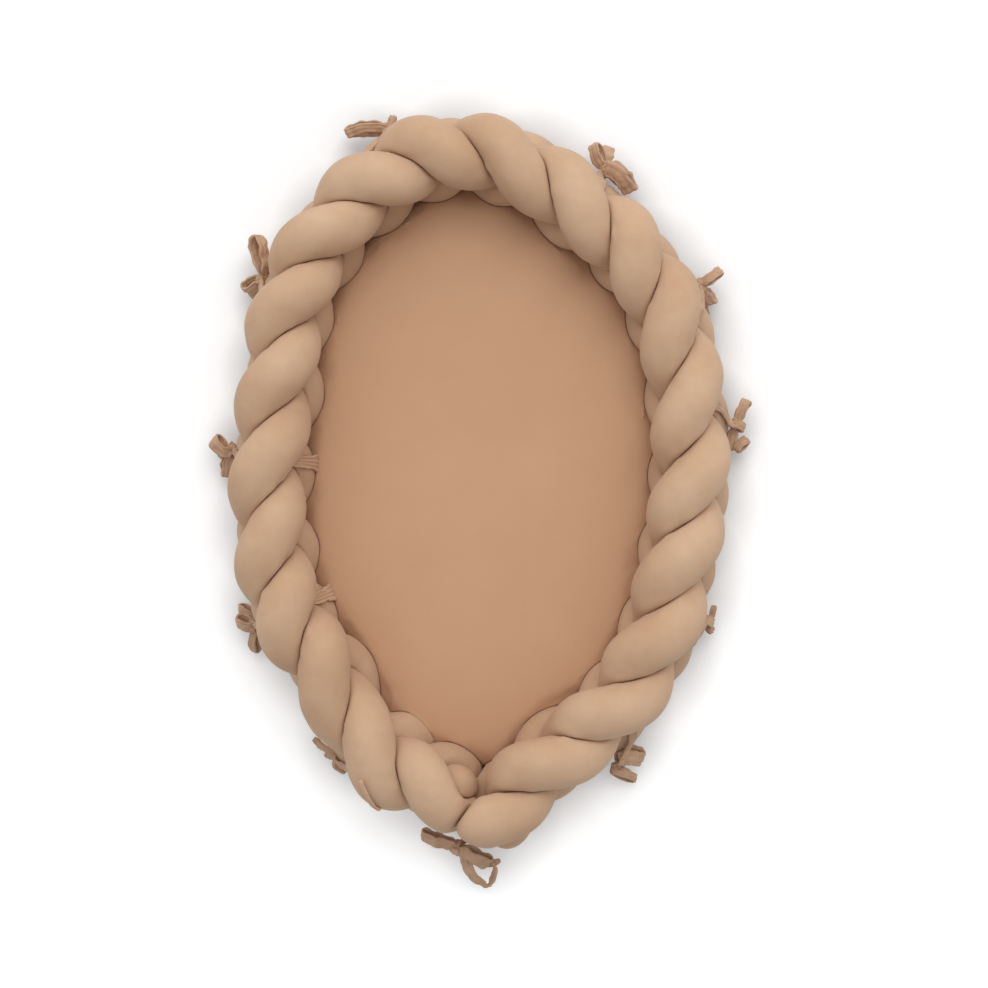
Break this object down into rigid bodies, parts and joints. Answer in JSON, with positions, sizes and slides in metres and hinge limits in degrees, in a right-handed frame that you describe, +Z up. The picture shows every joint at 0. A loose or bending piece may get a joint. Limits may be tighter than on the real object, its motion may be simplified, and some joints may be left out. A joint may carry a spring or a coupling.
{
  "type": "braided infant lounger",
  "caption": "Infant lounger: a flat padded mattress inside a thick plaited bumper, held by small cloth ties with bows and open at the foot, with a zip in the mattress underside.",
  "frame": {"origin": "on the flat underside of the mattress, in the middle of the loop that the braid makes", "axes": "+X to the right across the nest, +Y towards the closed head end, +Z up from the surface it lies on"},
  "size_m": [0.6681, 0.9454, 0.1551],
  "materials": {
    "braid_cotton": "matte",
    "mattress_cotton": "matte",
    "foam": "matte",
    "wadding": "matte",
    "zip_tape": "matte",
    "zip_coil": "satin",
    "zip_metal": "satin"
  },
  "bodies": {
    "lounger": {"braid_strand_a": "braid_cotton", "braid_strand_b": "braid_cotton", "braid_strand_c": "braid_cotton", "braid_end_tape_left": "braid_cotton", "braid_end_tape_right": "braid_cotton", "tie_foot_left_inner": "braid_cotton", "tie_foot_left_outer": "braid_cotton", "tie_low_left_inner": "braid_cotton", "tie_low_left_outer": "braid_cotton", "tie_mid_left_inner": "braid_cotton", "tie_mid_left_outer": "braid_cotton", "tie_upper_left_inner": "braid_cotton", "tie_upper_left_outer": "braid_cotton", "tie_head_left_inner": "braid_cotton", "tie_head_left_outer": "braid_cotton", "tie_head_right_inner": "braid_cotton", "tie_head_right_outer": "braid_cotton", "tie_upper_right_inner": "braid_cotton", "tie_upper_right_outer": "braid_cotton", "tie_mid_right_inner": "braid_cotton", "tie_mid_right_outer": "braid_cotton", "tie_low_right_inner": "braid_cotton", "tie_low_right_outer": "braid_cotton", "tie_foot_right_inner": "braid_cotton", "tie_foot_right_outer": "braid_cotton", "foot_tie": "braid_cotton", "mattress_core": "foam", "mattress_wadding": "wadding", "mattress_cover_top": "mattress_cotton", "mattress_cover_bottom": "mattress_cotton", "zip_tape_left": "zip_tape", "zip_tape_right": "zip_tape", "zip_coil_left": "zip_coil", "zip_coil_right": "zip_coil", "zip_top_stop_left": "zip_metal", "zip_top_stop_right": "zip_metal", "zip_bottom_stop": "zip_metal"},
    "zip_slider": {"zip_slider": "zip_metal"},
    "zip_pull": {"zip_pull": "zip_metal"}
  },
  "joints": [
    {"name": "zip_run", "type": "slide", "parent": "lounger", "child": "zip_slider", "axis": [-1, 0, 0], "range_m": [0, 0.2205]},
    {"name": "pull_swing", "type": "hinge", "parent": "zip_slider", "child": "zip_pull", "pos_m": [0.1152, -0.15, 0.0027], "axis": [0, -1, 0], "range_deg": [0, 110]}
  ]
}
